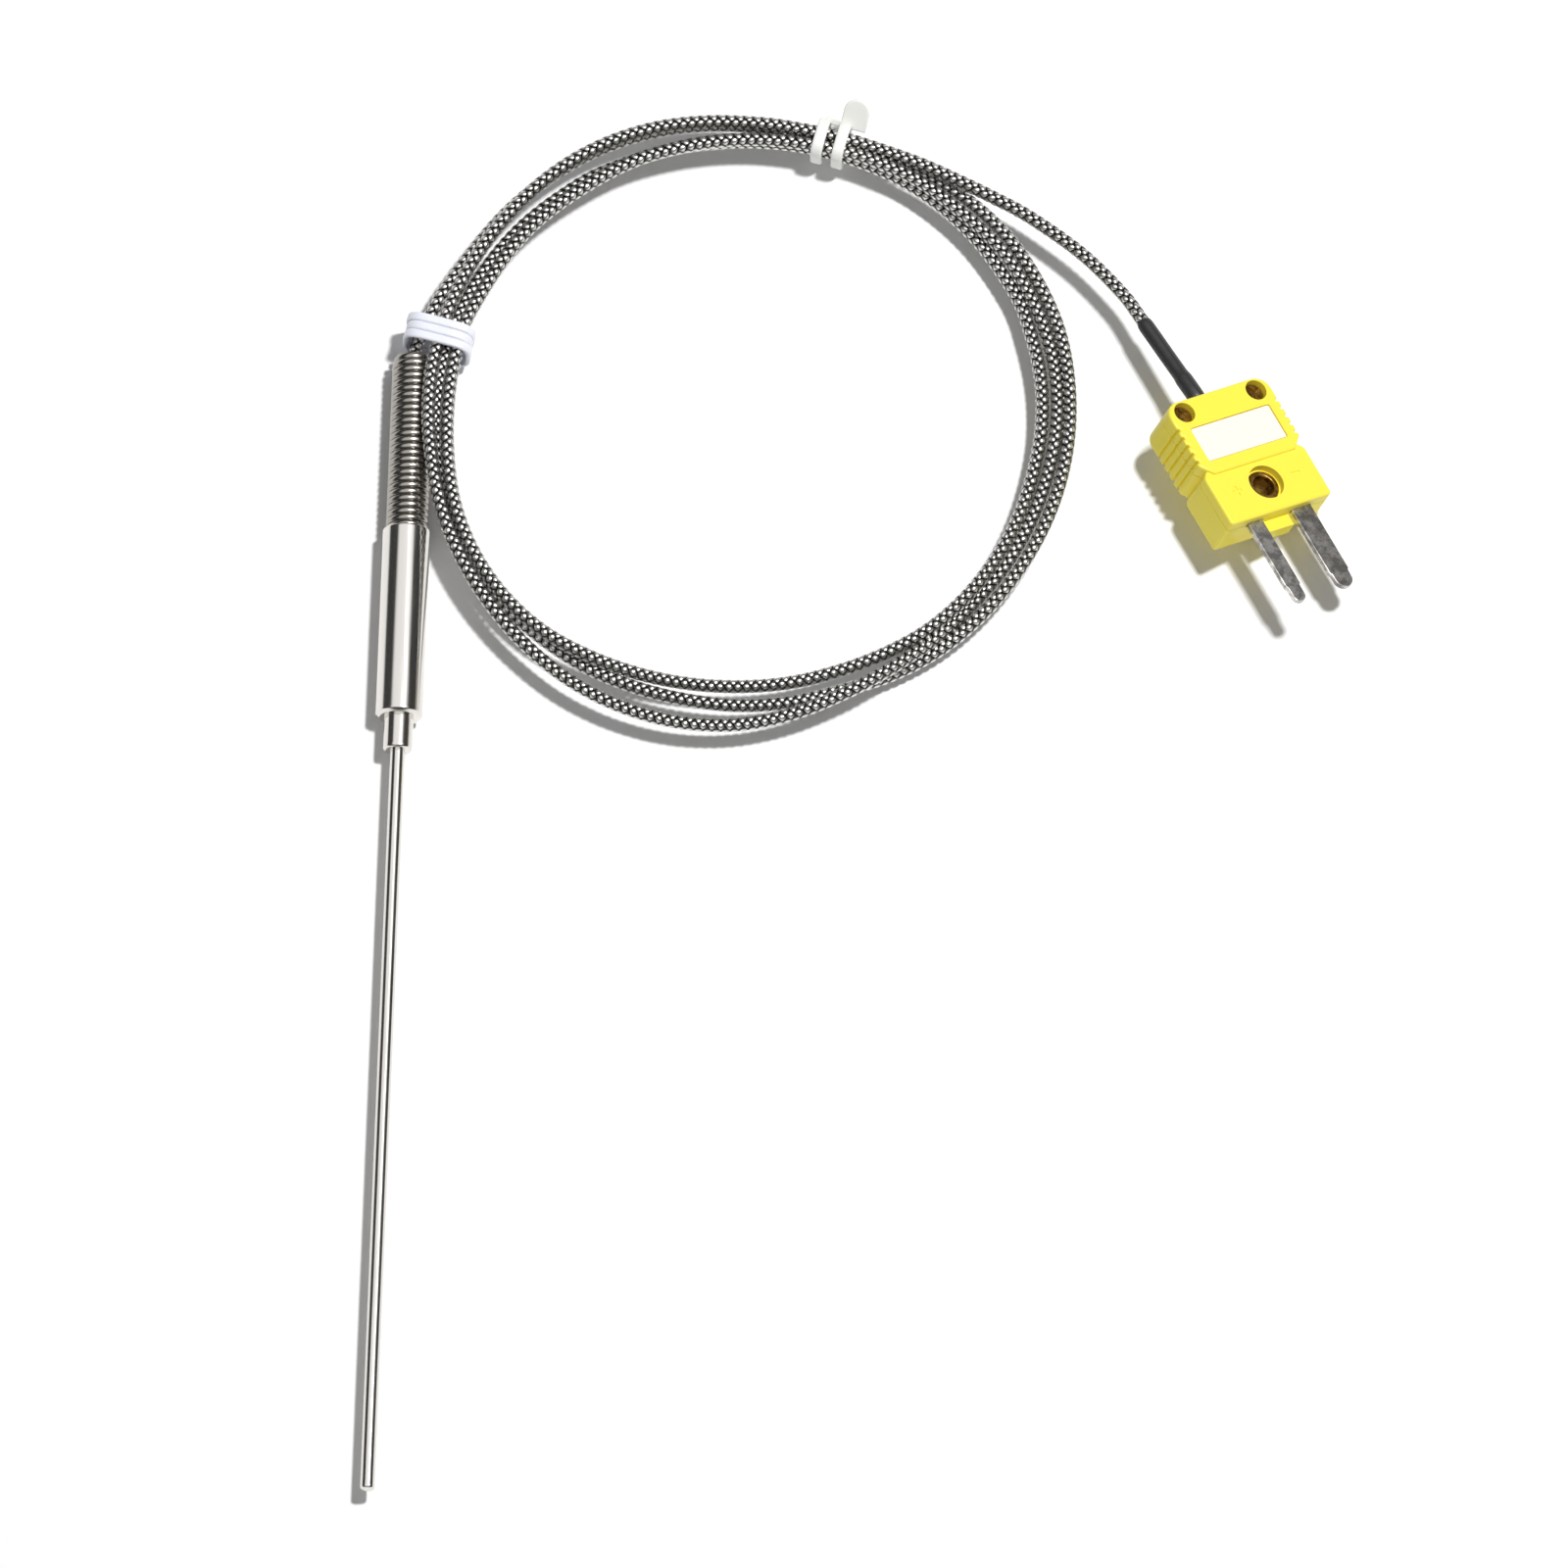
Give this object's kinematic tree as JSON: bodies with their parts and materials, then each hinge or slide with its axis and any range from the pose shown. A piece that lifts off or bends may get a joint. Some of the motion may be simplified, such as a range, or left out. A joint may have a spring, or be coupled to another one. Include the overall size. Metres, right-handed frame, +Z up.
{
  "type": "thermocouple probe",
  "caption": "Thin metal-sheathed thermocouple probe with a sleeve and strain relief spring, a coiled braided cable and a miniature two-pin plug.",
  "frame": {"origin": "under the middle of the probe's length, from its tip to the end of its spring, on the surface that the probe lies on", "axes": "+Y along the probe from its tip to its cable end, +Z up, +X from the probe towards the coiled cable and the plug"},
  "size_m": [0.1323, 0.2037, 0.0138],
  "materials": {
    "steel": "polished",
    "spring_steel": "drawn wire",
    "powder": "pressed mineral powder",
    "resin": "cast",
    "tinned_copper": "tinned",
    "braid": "braided wire",
    "heat_shrink": "satin",
    "clear_nylon": "translucent",
    "white_plastic": "satin",
    "yellow_plastic": "moulded",
    "label": "plain",
    "brass": "plated",
    "screw_steel": "zinc plated",
    "positive_alloy": "nickel chromium alloy",
    "negative_alloy": "nickel aluminium alloy"
  },
  "bodies": {
    "root": {"sheath": "steel", "insulation_core": "powder", "conductor_positive": "positive_alloy", "conductor_negative": "negative_alloy", "junction_bead": "tinned_copper", "sheath_ferrule": "steel", "transition_sleeve": "steel", "potting": "resin", "splice_positive": "tinned_copper", "splice_negative": "tinned_copper", "core_wire_positive": "positive_alloy", "core_wire_negative": "negative_alloy", "strain_relief_spring": "spring_steel", "cable_lead_in": "braid", "cable_coil": "braid", "cable_lead_out": "braid", "heat_shrink_sleeve": "heat_shrink", "tie_top": "clear_nylon", "tie_side": "white_plastic", "plug_base": "yellow_plastic", "plug_cover": "yellow_plastic", "label_panel": "label", "cover_screw_left": "screw_steel", "cover_screw_right": "screw_steel", "pin_positive": "positive_alloy", "pin_negative": "negative_alloy", "terminal_screw_positive": "brass", "terminal_screw_negative": "brass", "eyelet": "brass", "tail_positive": "positive_alloy", "tail_negative": "negative_alloy"}
  },
  "joints": []
}
